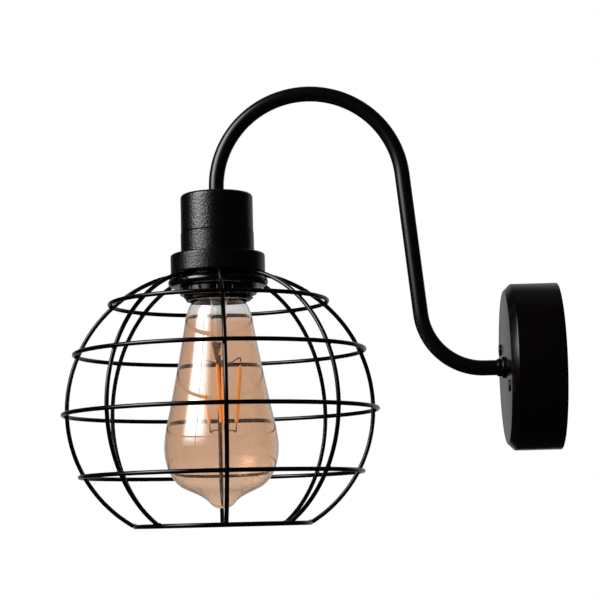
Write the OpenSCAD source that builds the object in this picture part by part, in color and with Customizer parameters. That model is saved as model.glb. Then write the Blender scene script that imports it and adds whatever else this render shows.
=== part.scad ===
// Cage wall light: a gooseneck arm on a round canopy carries a screw-cap lamp holder,
// a welded wire cage that a notched ring clamps to the holder, and a filament bulb.
// The wall is the plane Y = 0 and the canopy's centre is the origin. The light stands
// out along -Y, Z is up, and the lamp's own axis is vertical.

/* [Arm] */
// Distance from the wall to the lamp's axis
reach = 190; // [182:1:215]
// Height of the arch's centre line above the canopy's centre
arch_top = 159.5; // [154:0.5:175]
// Radius of the arch's centre line
arch_r = 53; // [46:0.5:57]
// Radius of the lower bend's centre line
lower_bend_r = 35; // [28:0.5:42]
// Straight length between the canopy's face and the lower bend
stub = 11.5; // [9:0.5:20]
// Outer diameter of the tube
tube_d = 8.6; // [8:0.1:9.4]
// Wall of the tube
tube_wall = 1.1; // [0.8:0.1:1.3]
// Diameter of the collar's flange
collar_d = 12.2; // [11.4:0.1:14]
// Thickness of the collar's flange
collar_t = 1.8; // [1.5:0.1:4]
// Diameter of the collar's boss
collar_boss_d = 10; // [9.8:0.1:11]
// Length of the collar's boss
collar_boss_t = 2.7; // [1.5:0.1:4]
// Width across flats of the two hexagon nuts
nut_af = 13; // [12:0.5:15]
// Thickness of the two hexagon nuts
nut_t = 3; // [2.4:0.1:3.6]
// Thickness of the toothed washer
washer_t = 0.6; // [0.4:0.1:1]
// Diameter of the toothed washer
washer_d = 14.5; // [14:0.1:17]
// Number of teeth round the washer
washer_teeth = 12; // [8:1:16]

/* [Canopy] */
// Diameter of the canopy
canopy_d = 93.3; // [91:0.1:110]
// Depth of the canopy
canopy_depth = 30; // [27:0.5:36]
// Width and depth of the bevel round the canopy's face
canopy_bevel = 3.9; // [2:0.1:6]
// Wall of the canopy
canopy_wall = 1; // [0.8:0.1:1.5]
// Distance between the two screws in the canopy's face
canopy_screw_span = 60; // [54:0.5:60]
// Tilt of the screw line from level
screw_tilt = 24; // [5:1:24]
// Thread diameter of the canopy screws
screw_d = 3.8; // [3.4:0.1:4]
// Head diameter of the canopy screws and the earth screw
screw_head_d = 6.6; // [6:0.1:7.5]
// Head height of the canopy screws
canopy_screw_head_h = 1; // [0.8:0.1:2.2]
// Head height of the earth screw
screw_head_h = 2; // [1.6:0.1:2.8]

/* [Wall bracket] */
// Distance between the two wall holes
wall_hole_span = 78; // [77:0.5:79]
// Diameter of the wall holes
wall_hole_d = 4.5; // [4:0.1:5]
// Length of the strap
strap_l = 86.8; // [86:0.1:88]
// Width of the strap
strap_w = 16; // [14:0.5:17]
// Thickness of the strap
strap_t = 1.5; // [1.2:0.1:2]
// Height of the strap's raised middle above the wall
strap_rise = 6; // [4:0.5:7]
// Diameter of the cable hole through the strap
cable_hole_d = 10; // [8:0.5:11]
// Distance of the earth screw from the middle of the strap
earth_screw_pos = 15; // [14:0.5:17]

/* [Connector] */
// Distance between the connector's ways
way_pitch = 8; // [7.5:0.1:8.5]
// Length of the connector along its ways
block_l = 16; // [15:0.5:18]
// Height of the connector's base off the tab
block_h = 8; // [7.5:0.1:9]
// Height of the screw turrets above the base
turret_h = 4; // [3:0.1:5]
// Distance from the canopy's centre down to the connector's upper edge
block_drop = 16; // [16:0.5:19]
// Diameter of an insulated lead
lead_d = 2; // [1.6:0.1:2.2]
// Bend radius of the leads behind the canopy
lead_bend_r = 6; // [5:0.1:6.5]

/* [Lamp holder] */
// Height of the holder's top above the canopy's centre
holder_top = 102.8; // [98:0.1:104]
// Length of the holder from its top to its mouth
holder_l = 60.8; // [60:0.1:64]
// Diameter of the cap
cap_d = 41; // [40:0.1:42]
// Height of the cap
cap_h = 21.9; // [20:0.1:23]
// Radius of the cap's upper edge
cap_edge_r = 2.2; // [1:0.1:2.5]
// Diameter of the sleeve below the cap
sleeve_d = 41.5; // [41:0.1:42]
// Height of the sleeve below the cap
sleeve_h = 12.3; // [11.5:0.1:13]
// Largest diameter of the outer thread
holder_thread_d = 39.5; // [38.9:0.1:39.6]
// Depth of the outer thread
holder_thread_depth = 1; // [0.8:0.1:1.1]
// Pitch of the outer thread
holder_thread_pitch = 2.5; // [2:0.1:3]
// Inner diameter of the holder
holder_bore_d = 33.8; // [33.6:0.1:34]
// Inner diameter of the lip at the mouth
mouth_d = 32.4; // [32.2:0.1:33]
// Distance between the two brass terminals
terminal_span = 18; // [17:0.5:18.5]

/* [Bulb] */
// Overall length of the bulb
bulb_l = 142; // [141.5:0.1:143]
// Largest diameter of the bulb's glass
bulb_d = 64; // [62:0.5:66]
// Wall of the glass
glass_t = 0.7; // [0.5:0.1:1]
// Largest diameter of the cap's thread
e27_d = 26.4; // [26:0.1:26.5]
// Depth of the cap's thread
e27_depth = 1.06; // [0.9:0.01:1.1]
// Pitch of the cap's thread
e27_pitch = 3.629; // [3.5:0.001:3.7]
// Length of a light strip
filament_l = 38; // [34:0.5:40]
// Diameter of a light strip
filament_d = 2.2; // [1.6:0.1:2.4]
// Distance of the strips' upper ends from the lamp's axis
filament_top_r = 11.7; // [9:0.1:12]
// Distance of the strips' lower ends from the lamp's axis
filament_foot_r = 7.4; // [6:0.1:9]

/* [Cage] */
// Diameter of the cage's wire
wire_d = 2.4; // [2:0.1:2.6]
// Widest radius of the ribs' centre line
cage_r = 85.9; // [80:0.1:92]
// Radius of the ribs' upper arc
upper_arc_r = 78.3; // [75:0.1:82]
// Radius of the ribs' arc beside the collar plate
crown_arc_r = 41; // [36:0.5:46]
// Radius of the ribs' lower arc
lower_arc_r = 74.3; // [72:0.1:80]
// Depth of the bottom hoop below the cage's widest level
mouth_drop = 64.2; // [60:0.1:67]
// Heights of the four upper hoops above the cage's widest level
hoop_rise = [60, 32, -1.5, -36.2]; // [-40:0.1:62]
// Turn of the ribs about the lamp's axis
rib_phase = 5; // [0:0.5:20]
// How far each hand-welded rib sits off its even place
rib_drift = [0.5, 0.5, 0, -2.5, -1, 1.5, 0, -1]; // [-3:0.5:3]
// Outer diameter of the plain ring above the ribs
cage_cap_d = 53.4; // [52:0.1:55]
// Height of the plain ring above the ribs
cage_cap_h = 11.1; // [10.5:0.1:12]
// Wall of the plain ring
cage_cap_wall = 1; // [0.8:0.1:1.4]
// Radius of the plain ring's upper edge
cage_cap_edge_r = 1.4; // [1.1:0.1:3]
// Thickness of the plate that the ribs are welded to
plate_t = 1.5; // [1.3:0.1:2]

/* [Shade ring] */
// Diameter of the flange
flange_d = 56.4; // [54:0.1:57]
// Thickness of the flange
flange_t = 4.8; // [4:0.1:5]
// Diameter of the notched skirt below the flange
ring_skirt_d = 43.4; // [42.8:0.1:45]
// Height of the notched skirt below the flange
ring_skirt_h = 4.6; // [4:0.1:5]
// Number of grip notches round the skirt
notch_count = 16; // [8:1:20]
// Diameter of a grip notch
notch_d = 2.6; // [2:0.1:3]

/* [Fits] */
// Gap all round between a screw or tube and its hole
hole_gap = 0.1; // [0.05:0.01:0.15]
// Gap between threads that turn in each other
thread_gap = 0.35; // [0.3:0.01:0.4]
// Gap all round between the cage's holes and the holder
slide_gap = 0.35; // [0.3:0.01:0.5]
// Gap between faces that meet when the light is assembled
seat_gap = 0.1; // [0.05:0.01:0.2]
// Depth to which welded wires sink into each other
weld = 0.2; // [0.1:0.01:0.25]

/* [Hidden] */

$fn = 64;
// How far a cutting shape runs past what it cuts
cut = 1;
// How far a run reaches into a bend, how much thicker the bend is, and how much
// the bracket's tab stands back from its strap's faces
lap = 0.05;
swell = 0.01;
// Steps of a thread's surface round and along one turn
thread_sides = 24;
thread_steps = 6;

// Colours of the finishes
black_paint = [0.06, 0.06, 0.065];
zinc = [0.72, 0.73, 0.75];
brass = [0.78, 0.62, 0.30];
ceramic = [0.93, 0.92, 0.88];
amber_glass = [0.85, 0.62, 0.42, 0.45];

// Arm: two bends and a slanting straight that touches both
tube_r = tube_d / 2;
bore_r = tube_r - tube_wall;
tube_hole_r = tube_r + hole_gap;
back_thread = 2.4;
top_thread = 1.8;
tail = canopy_wall + washer_t + nut_t + back_thread;
tube_start = canopy_depth - tail;
arm_run = reach - arch_r - canopy_depth - stub;
arm_rise = arch_top - arch_r - lower_bend_r;
bends_apart = norm([arm_run, arm_rise]);
lean = acos((lower_bend_r + arch_r) / bends_apart) - atan2(arm_rise, arm_run);
slant = sqrt(pow(bends_apart, 2) - pow(lower_bend_r + arch_r, 2));

// Lamp holder, from its top down
cap_plate_t = 2.5;
cap_wall = 1.8;
cap_thick_wall = 4.8;
tube_end_z = holder_top - cap_plate_t - nut_t - top_thread;
seam_z = holder_top - cap_h;
shoulder_z = seam_z - sleeve_h;
mouth_z = holder_top - holder_l;
seam_bevel = 0.4;
spigot_h = 5.5;
step_z = seam_z + spigot_h;
holder_thread_r = holder_thread_d / 2;
holder_neck_r = holder_thread_r + 0.05;
cap_bore_r = cap_d / 2 - cap_wall;
cap_room_r = cap_d / 2 - cap_thick_wall;
insert_r = holder_bore_d / 2 - hole_gap;
contact_depth = 25.3;
contact_z = mouth_z + contact_depth;
insert_z = contact_z + 0.6;
wiring_depth = 8;
floor_z = step_z - wiring_depth;
shelf_t = 2;
arm_bends = [["bend", lower_bend_r, 90 - lean], ["run", slant], ["bend", -arch_r, 180 - lean],
    ["run", arch_top - arch_r - tube_end_z]];
arm_route = concat([["run", tail + stub]], arm_bends);

// Screw shell and its sprung contact
e27_mean_r = e27_d / 2 - e27_depth / 2;
shell_wall = 0.65;
shell_r = e27_d / 2 + thread_gap + shell_wall;
shell_plate_t = 1;
shell_foot_z = mouth_z + 5;
shelf_r = shell_r + 0.9;
contact_hole_r = 7;
rivet_r = 1.2;
strap_plate_t = 1;
plunger_travel = 2.5;
plunger_nose_r = 2.3;
plunger_flange_r = 3.1;
plunger_flange_t = 1.2;
plunger_neck_t = 1.1;
plunger_flange_z = insert_z + plunger_neck_t + plunger_travel + 0.3;
spring_wire_d = 0.6;
spring_r = 2.6;
spring_turns = 4;
terminal_w = 6;
terminal_h = 5;
terminal_screw_r = 1.3;
terminal_screw_z = terminal_h - 1.8;
lead_seat = 3;

// Bulb, measured up from its lower tip
bulb_tip_z = contact_z - bulb_l;
bulb_r = bulb_d / 2;
glass_neck_r = e27_d / 2 - 1.6;
cap_rim_h = 1.3;
glass_depth = 16.5;
glass_top = bulb_l - glass_depth;
cap_l = 21.8;
cap_foot = bulb_l - cap_l;
insulator_depth = 4.5;
insulator_foot = bulb_l - insulator_depth;
contact_t = 1.3;
contact_foot = bulb_l - contact_t;
insulator_top_r = 5.2;
cap_inner_r = e27_d / 2 - e27_depth - 0.5;
board_t = 1.6;
board_foot = glass_top + 4;
filament_depth = 59.5;
filament_top = bulb_l - filament_depth;
filament_count = 4;
filament_phase = 84;
support_r = 0.3;
knot_r = 0.6;

// Glass tube inside the bulb: a flared tube squeezed shut at its foot, round a thinner one
stem_r = 4.6;
stem_wall = 0.8;
stem_flare_r = 6.4;
stem_flare_l = 6;
stem_cone_l = 12;
stem_foot = filament_top + 2.5;
stem_tip_r = 1.6;
press_r = 2.4;
press_l = 5;
press_taper = 6;
inner_tube_r = 1.5;
inner_bore_r = 0.8;

// Cage: the ribs end level, under the plate and just outside the holder
wire_r = wire_d / 2;
hole_r = holder_neck_r + slide_gap;
cage_top_z = shoulder_z - seat_gap;
lip_z = cage_top_z - cage_cap_h;
plate_z = lip_z + 0.1;
plate_weld = 0.05;
rib_end_r = hole_r + 0.8;
rib_top_z = plate_z - wire_r + plate_weld;
shoulder_angle = acos((rib_end_r - cage_r + upper_arc_r) / (upper_arc_r - crown_arc_r));
widest_z = rib_top_z - crown_arc_r - (upper_arc_r - crown_arc_r) * sin(shoulder_angle);
upper_c = [cage_r - upper_arc_r, widest_z];
lower_c = [cage_r - lower_arc_r, widest_z];
crown_c = [rib_end_r, rib_top_z - crown_arc_r];
foot_angle = asin(mouth_drop / lower_arc_r);
foot_cut = (wire_r - weld) / lower_arc_r * 180 / PI;
hoop_offset = wire_d - weld;

// Shade ring, just below the wires where its edge starts to round off
flange_r = flange_d / 2;
flange_round = flange_t / 2 - 0.05;
flange_edge_r = flange_r - flange_round;
wire_under_z = crown_c[1] + sqrt(pow(crown_arc_r - wire_r, 2) - pow(flange_edge_r - rib_end_r, 2));
flange_top_z = wire_under_z - 1.5 * seat_gap;
ring_foot_z = flange_top_z - flange_t - ring_skirt_h;

// Wall side, where h is the distance from the wall
strap_top_h = strap_rise + strap_t;
ramp_out = wall_hole_span / 2 - 3.6;
ramp_in = canopy_screw_span / 2 + 2.6;
ramp_angle = atan2(strap_rise, ramp_out - ramp_in);
ramp_shift = strap_t * tan(ramp_angle / 2);
earth_x = -earth_screw_pos * cos(screw_tilt);
earth_z = earth_screw_pos * sin(screw_tilt);
way_h = strap_top_h + 4.5;
lead_r = lead_d / 2;
lead_off = lead_r + 0.25;
lead_depth = 5;
way_r = lead_r + 0.3;
turret_r = 2.9;
turret_in = 4;
turret_ends = [turret_in, block_l - turret_in];
block_top_h = strap_top_h + block_h;
turret_top_h = block_top_h + turret_h;
small_screw_r = 1.5;
small_hole_r = small_screw_r + hole_gap;
screw_hole_r = screw_d / 2 + hole_gap;
tag_t = 0.8;
tag_r = 4;
barrel_r = lead_r + 0.6;
barrel_l = 5;
barrel_end = 1;
barrel_h = strap_top_h + barrel_r + 0.2;
barrel_foot_z = earth_z - tag_r - 1 - barrel_l;

// Points along an arc about c, from angle a to angle b
function arc(c, r, a, b, n = 8) =
    [for (i = [0 : n]) c + r * [cos(a + (b - a) * i / n), sin(a + (b - a) * i / n)]];

// Puts a piece on the lamp's axis
module at_lamp() {
    translate([0, -reach, 0]) children();
}

// Puts a piece on the wall: x stays X, y becomes Z, and z is the distance from the wall
module at_wall() {
    rotate([90, 0, 0]) children();
}

// Puts a piece on the strap's slanting centre line
module on_strap() {
    at_wall() rotate([0, 0, -screw_tilt]) children();
}

// Round post between two heights
module post(r, z_low, z_high) {
    translate([0, 0, z_low]) cylinder(r = r, h = z_high - z_low);
}

// Hole through the stuff between two heights, cut past both
module drill(r, z_low, z_high) {
    post(r, z_low - cut, z_high + cut);
}

// Puts a piece on the connector's fixing screw
module on_block() {
    translate([way_pitch / 2, -block_drop - block_l / 2, 0]) children();
}

// Ring or tube between two heights
module ring(r_out, r_in, z_low, z_high) {
    difference() {
        post(r_out, z_low, z_high);
        drill(r_in, z_low, z_high);
    }
}

// Rod of radius r along a route of runs, bends towards +x or -x, and rolls about the way ahead.
// It starts at the origin along +z. A run reaches a little way into its bends, which are
// a hair thicker, and the two ends of the whole rod can be drawn out by over.
module along(route, r, over = 0, i = 0) {
    if (i < len(route)) {
        step = route[i];
        if (step[0] == "run") {
            before = i == 0 ? over : lap;
            after = i == len(route) - 1 ? over : lap;
            translate([0, 0, -before]) cylinder(r = r, h = before + step[1] + after);
            translate([0, 0, step[1]]) along(route, r, over, i + 1);
        }
        if (step[0] == "bend") {
            side = sign(step[1]);
            translate([step[1], 0, 0]) {
                rotate([90, 0, side > 0 ? 180 : 0]) rotate_extrude(angle = step[2])
                    translate([abs(step[1]), 0]) circle(r = r + swell);
                rotate([0, side * step[2], 0]) translate([-step[1], 0, 0])
                    along(route, r, over, i + 1);
            }
        }
        if (step[0] == "roll") {
            rotate([0, 0, step[1]]) along(route, r, over, i + 1);
        }
    }
}

// Rod with a right-hand thread all along it. Two rods of one pitch share its phase.
module thread_rod(mean_r, depth, pitch, z_low, z_high) {
    n = thread_sides;
    m = ceil((z_high - z_low) / pitch * thread_steps);
    points = [for (j = [0 : m], i = [0 : n - 1])
        let (z = z_low + (z_high - z_low) * j / m,
            a = 360 * i / n,
            r = mean_r + depth / 2 * cos(360 * z / pitch - a))
        [r * cos(a), r * sin(a), z]];
    sides = [for (j = [0 : m - 1], i = [0 : n - 1])
        let (k = (i + 1) % n)
        each [[j * n + i, (j + 1) * n + k, j * n + k], [j * n + i, (j + 1) * n + i, (j + 1) * n + k]]];
    foot = [for (i = [0 : n - 1]) i];
    head = [for (i = [n - 1 : -1 : 0]) m * n + i];
    polyhedron(points, concat([foot], sides, [head]), convexity = 8);
}

// Straight round bar between two points
module bar(from, to, r) {
    d = to - from;
    translate(from) rotate([0, acos(d[2] / norm(d)), atan2(d[1], d[0])])
        cylinder(r = r, h = norm(d), $fn = 24);
}

// Round-headed screw, with its head above z = 0, its shank below and a cross in its head
module screw(head_r, head_h, shank_r, shank_l) {
    difference() {
        union() {
            rotate_extrude() polygon(concat([[0, 0], [head_r, 0]],
                arc([head_r - head_h * 0.7, head_h * 0.3], head_h * 0.7, 0, 90), [[0, head_h]]));
            translate([0, 0, -shank_l]) cylinder(r = shank_r, h = shank_l + 0.01);
        }
        for (a = [0, 90]) rotate([0, 0, a]) translate([-head_r * 0.6, -head_r * 0.1, head_h * 0.45])
            cube([head_r * 1.2, head_r * 0.2, head_h]);
    }
}

// Screw without a head between two heights, with a slot in its upper end
module slotted(r, z_low, z_high) {
    slot_w = 0.4 * r;
    slot_depth = 0.7;
    difference() {
        post(r, z_low, z_high);
        translate([-r - cut, -slot_w / 2, z_high - slot_depth])
            cube([2 * (r + cut), slot_w, slot_depth + cut]);
    }
}

// Hexagon nut on the tube
module hex_nut(z_low) {
    difference() {
        translate([0, 0, z_low]) cylinder(d = nut_af / cos(30), h = nut_t, $fn = 6);
        drill(tube_hole_r, z_low, z_low + nut_t);
    }
}

// Wall side

module wall_bracket() {
    foot = strap_l / 2;
    tab_lap = 2;
    color(zinc) difference() {
        union() {
            on_strap() rotate([90, 0, 0]) linear_extrude(height = strap_w, center = true) polygon([
                [-foot, 0], [-ramp_out, 0], [-ramp_in, strap_rise], [ramp_in, strap_rise],
                [ramp_out, 0], [foot, 0], [foot, strap_t], [ramp_out + ramp_shift, strap_t],
                [ramp_in + ramp_shift, strap_top_h], [-ramp_in - ramp_shift, strap_top_h],
                [-ramp_out - ramp_shift, strap_t], [-foot, strap_t]]);
            // The tab below the strap carries the connector; it is a hair thinner than the strap
            at_wall() translate([-way_pitch, -block_drop - block_l, strap_rise + swell])
                cube([2 * way_pitch, block_drop + block_l + tab_lap, strap_t - 2 * swell]);
        }
        on_strap() {
            for (side = [-1, 1]) {
                translate([side * wall_hole_span / 2, 0, 0]) drill(wall_hole_d / 2, 0, strap_t);
                translate([side * canopy_screw_span / 2, 0, 0]) drill(screw_hole_r, 0, strap_top_h);
            }
            translate([-earth_screw_pos, 0, 0]) drill(screw_hole_r, 0, strap_top_h);
            drill(cable_hole_d / 2, 0, strap_top_h);
        }
        at_wall() on_block() drill(small_hole_r, 0, strap_top_h);
    }
}

module bracket_earth_screw() {
    color(brass) on_strap() translate([-earth_screw_pos, 0, strap_top_h + tag_t])
        screw(screw_head_d / 2, screw_head_h, screw_d / 2, tag_t + strap_t + 1.5);
}

module canopy() {
    r = canopy_d / 2;
    inner_r = r - canopy_wall;
    // The bevel's inside stands off by the wall, square to the bevel
    turn = canopy_wall * tan(22.5);
    color(black_paint) at_wall() difference() {
        rotate_extrude($fn = 128) polygon([
            [0, canopy_depth], [r - canopy_bevel, canopy_depth], [r, canopy_depth - canopy_bevel], [r, 0],
            [inner_r, 0], [inner_r, canopy_depth - canopy_bevel - turn],
            [r - canopy_bevel - turn, canopy_depth - canopy_wall], [0, canopy_depth - canopy_wall]]);
        drill(tube_hole_r, canopy_depth - canopy_wall, canopy_depth);
        rotate([0, 0, -screw_tilt]) for (side = [-1, 1]) translate([side * canopy_screw_span / 2, 0, 0])
            drill(screw_hole_r, canopy_depth - canopy_wall, canopy_depth);
    }
}

module canopy_screws() {
    color(black_paint) on_strap() for (side = [-1, 1])
        translate([side * canopy_screw_span / 2, 0, canopy_depth])
            screw(screw_head_d / 2, canopy_screw_head_h, screw_d / 2, canopy_depth - strap_rise + 2);
}

module terminal_block() {
    color(ceramic) at_wall() difference() {
        translate([0, -block_drop, 0]) union() {
            translate([-1.5 * way_pitch, -block_l, strap_top_h]) cube([3 * way_pitch, block_l, block_h]);
            for (way = [-1 : 1], end = turret_ends)
                translate([way * way_pitch, -end, 0]) post(turret_r, block_top_h - cut, turret_top_h);
        }
        for (way = [-1 : 1]) {
            translate([way * way_pitch, -block_drop - block_l, way_h]) rotate([-90, 0, 0])
                drill(way_r, 0, block_l);
            for (end = turret_ends) translate([way * way_pitch, -block_drop - end, 0])
                post(small_hole_r, way_h, turret_top_h + cut);
        }
        on_block() drill(small_hole_r, strap_top_h, block_top_h);
    }
}

module terminal_screws() {
    sunk = 1;
    color(brass) at_wall() for (way = [-1 : 1], end = turret_ends)
        translate([way * way_pitch, -block_drop - end, 0])
            slotted(small_screw_r, way_h + lead_r, turret_top_h - sunk);
}

module block_screw() {
    head_r = 2.3;
    head_h = 1.4;
    color(zinc) at_wall() on_block() translate([0, 0, block_top_h])
        screw(head_r, head_h, small_screw_r, block_h + strap_t + 1);
}

module earth_tag() {
    neck = 1.5;
    color(brass) at_wall() difference() {
        union() {
            translate([earth_x, earth_z, 0]) post(tag_r, strap_top_h, strap_top_h + tag_t);
            translate([earth_x - barrel_r, earth_z - tag_r - neck, strap_top_h])
                cube([2 * barrel_r, tag_r + neck, tag_t]);
            translate([earth_x, barrel_foot_z, barrel_h]) rotate([-90, 0, 0]) post(barrel_r, 0, barrel_l);
        }
        translate([earth_x, earth_z, 0]) drill(screw_hole_r, strap_top_h, strap_top_h + tag_t);
        // The lead's end goes into the barrel, which is closed at its upper end
        translate([earth_x, barrel_foot_z, barrel_h]) rotate([-90, 0, 0])
            post(lead_r + 0.05, -cut, barrel_l - barrel_end);
    }
}

// Leads

// Route of a lead: up out of its way, fanned in to the tube, along the tube, and outwards to a
// terminal. Its sides are -1 and 1, for the lead's place in the tube and its terminal.
function lead_route(way_x, fan, side, foot_z) =
    let (wall_r = lead_bend_r,
        in = (way_x - side * lead_off - wall_r * (1 - cos(fan))) / sin(fan) - wall_r,
        rise = (wall_r + in) * cos(fan) + wall_r * sin(fan),
        lamp_r = 4,
        sweep = 60,
        out = (terminal_span / 2 - lead_off - 2 * lamp_r * (1 - cos(sweep))) / sin(sweep),
        fall = 2 * lamp_r * sin(sweep) + out * cos(sweep))
    concat([["run", block_drop + lead_depth - rise], ["bend", wall_r, fan], ["run", in],
            ["roll", 90], ["bend", wall_r, 90], ["run", canopy_depth + stub - way_h - wall_r],
            ["roll", 180 - fan]],
        arm_bends,
        [["roll", -90 * side], ["bend", lamp_r, sweep], ["run", out], ["bend", -lamp_r, sweep],
            ["run", tube_end_z - fall - foot_z]]);

module lead(way_x, fan, side, foot_z) {
    at_wall() translate([way_x, -block_drop - lead_depth, way_h]) rotate([-90, 0, 0]) rotate([0, 0, 180])
        along(lead_route(way_x, fan, side, foot_z), lead_r);
}

module live_lead() {
    color([0.45, 0.25, 0.12]) lead(way_pitch, 30, 1, floor_z + terminal_h - lead_seat);
}

module neutral_lead() {
    color([0.15, 0.35, 0.75]) lead(0, 10, -1, floor_z + strap_plate_t + terminal_h - lead_seat);
}

module earth_lead() {
    bend_r = 3.5;
    sweep = 60;
    below = 0.6;
    inside = barrel_l - barrel_end - 0.5;
    to = [earth_x + way_pitch, barrel_h - way_h];
    spread = (norm(to) - 2 * bend_r * (1 - cos(sweep))) / sin(sweep);
    climb = 2 * bend_r * sin(sweep) + spread * cos(sweep);
    foot_z = -block_drop - lead_depth;
    color([0.35, 0.65, 0.2]) at_wall() translate([-way_pitch, foot_z, way_h]) rotate([-90, 0, 0])
        rotate([0, 0, atan2(-to[1], to[0])])
            along([["run", barrel_foot_z - below - climb - foot_z], ["bend", bend_r, sweep],
                ["run", spread], ["bend", -bend_r, sweep], ["run", below + inside]], lead_r);
}

// Arm

module arm_tube() {
    color(black_paint) translate([0, -tube_start, 0]) rotate([90, 0, 0]) rotate([0, 0, 90]) difference() {
        along(arm_route, tube_r);
        along(arm_route, bore_r, cut);
    }
}

module arm_collar() {
    flange_round = 0.6;
    boss_round = 0.4;
    slot_w = 1.2;
    slot_depth = 0.8;
    top = collar_t + collar_boss_t;
    color(black_paint) at_wall() translate([0, 0, canopy_depth]) difference() {
        rotate_extrude() polygon(concat([[tube_hole_r, 0], [collar_d / 2, 0]],
            arc([collar_d / 2 - flange_round, collar_t - flange_round], flange_round, 0, 90),
            [[collar_boss_d / 2, collar_t]],
            arc([collar_boss_d / 2 - boss_round, top - boss_round], boss_round, 0, 90),
            [[tube_hole_r, top]]));
        for (a = [0, 90]) rotate([0, 0, a]) translate([-collar_d, -slot_w / 2, top - slot_depth])
            cube([2 * collar_d, slot_w, slot_depth + cut]);
    }
}

module arm_lock_washer() {
    high = canopy_depth - canopy_wall;
    low = high - washer_t;
    tooth_gap = 1.2;
    tooth_depth = 0.9;
    color(zinc) at_wall() difference() {
        ring(washer_d / 2, tube_hole_r, low, high);
        for (i = [0 : washer_teeth - 1]) rotate([0, 0, i * 360 / washer_teeth])
            translate([washer_d / 2 - tooth_depth, -tooth_gap / 2, low - cut])
                cube([tooth_depth + cut, tooth_gap, washer_t + 2 * cut]);
    }
}

module arm_back_nut() {
    color(zinc) at_wall() hex_nut(canopy_depth - canopy_wall - washer_t - nut_t);
}

module holder_nut() {
    color(zinc) at_lamp() hex_nut(holder_top - cap_plate_t - nut_t);
}

// Lamp holder

module holder_cap() {
    r = cap_d / 2;
    color(black_paint) at_lamp() rotate_extrude($fn = 96) polygon(concat(
        [[tube_hole_r, holder_top]],
        arc([r - cap_edge_r, holder_top - cap_edge_r], cap_edge_r, 90, 0),
        [[r, seam_z + seam_bevel], [r - seam_bevel, seam_z], [cap_bore_r, seam_z], [cap_bore_r, step_z],
            [cap_room_r, step_z], [cap_room_r, holder_top - cap_plate_t],
            [tube_hole_r, holder_top - cap_plate_t]]));
}

module holder_skirt() {
    r = sleeve_d / 2;
    root_r = holder_thread_r - holder_thread_depth;
    nose_h = 1.4;
    nose_bevel = 0.5;
    lip_h = 2;
    color(black_paint) at_lamp() difference() {
        union() {
            rotate_extrude($fn = 96) polygon([[0, shoulder_z], [r, shoulder_z],
                [r, seam_z - seam_bevel], [r - seam_bevel, seam_z],
                [cap_bore_r - hole_gap, seam_z], [cap_bore_r - hole_gap, step_z], [0, step_z]]);
            post(holder_neck_r, rib_top_z, shoulder_z);
            thread_rod(holder_thread_r - holder_thread_depth / 2, holder_thread_depth,
                holder_thread_pitch, mouth_z + nose_h - 0.2, rib_top_z + 0.3);
            translate([0, 0, mouth_z])
                cylinder(r1 = root_r - 0.1 - nose_bevel, r2 = root_r - 0.1, h = nose_h);
        }
        drill(mouth_d / 2, mouth_z, step_z);
        post(holder_bore_d / 2, mouth_z + lip_h, insert_z - shelf_t);
        post(holder_bore_d / 2, insert_z, step_z + cut);
    }
    // A shelf inside carries the ceramic insert
    color(black_paint) at_lamp() ring(holder_bore_d / 2 + 0.5, shelf_r, insert_z - shelf_t, insert_z);
}

module holder_insert() {
    room = 0.5;
    side_room = 1.5;
    color(ceramic) at_lamp() difference() {
        post(insert_r, insert_z, step_z);
        translate([-terminal_span / 2 - terminal_w / 2 - room, -terminal_w / 2 - side_room, floor_z])
            cube([terminal_span + terminal_w + 2 * room, terminal_w + 2 * side_room, wiring_depth + cut]);
        drill(plunger_nose_r + hole_gap, insert_z, floor_z);
        post(spring_r + spring_wire_d, insert_z + plunger_neck_t, floor_z + cut);
        translate([terminal_span / 2, 0, 0]) drill(rivet_r + hole_gap, insert_z, floor_z);
    }
}

module screw_shell() {
    color(brass) at_lamp() difference() {
        ring(shell_r, contact_hole_r, shell_foot_z, insert_z);
        thread_rod(e27_mean_r + thread_gap, e27_depth, e27_pitch,
            shell_foot_z - cut, insert_z - shell_plate_t);
        translate([terminal_span / 2, 0, 0]) drill(rivet_r + hole_gap, insert_z - shell_plate_t, insert_z);
    }
}

module shell_rivet() {
    head_r = 2.2;
    head_t = 0.6;
    under_z = insert_z - shell_plate_t;
    color(brass) at_lamp() translate([terminal_span / 2, 0, 0]) {
        post(rivet_r, under_z, floor_z);
        post(head_r, under_z - head_t, under_z);
    }
}

module contact_strap() {
    color(brass) at_lamp() translate([-terminal_span / 2 - terminal_w / 2, -terminal_w / 2, floor_z])
        cube([terminal_span / 2 + terminal_w / 2 + plunger_flange_r, terminal_w, strap_plate_t]);
}

module contact_plunger() {
    color(brass) at_lamp() {
        post(plunger_nose_r, contact_z + 0.05, plunger_flange_z + 0.05);
        post(plunger_flange_r - hole_gap, plunger_flange_z, plunger_flange_z + plunger_flange_t);
        post(spring_r - spring_wire_d, plunger_flange_z, plunger_flange_z + plunger_flange_t + 2);
    }
}

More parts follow.
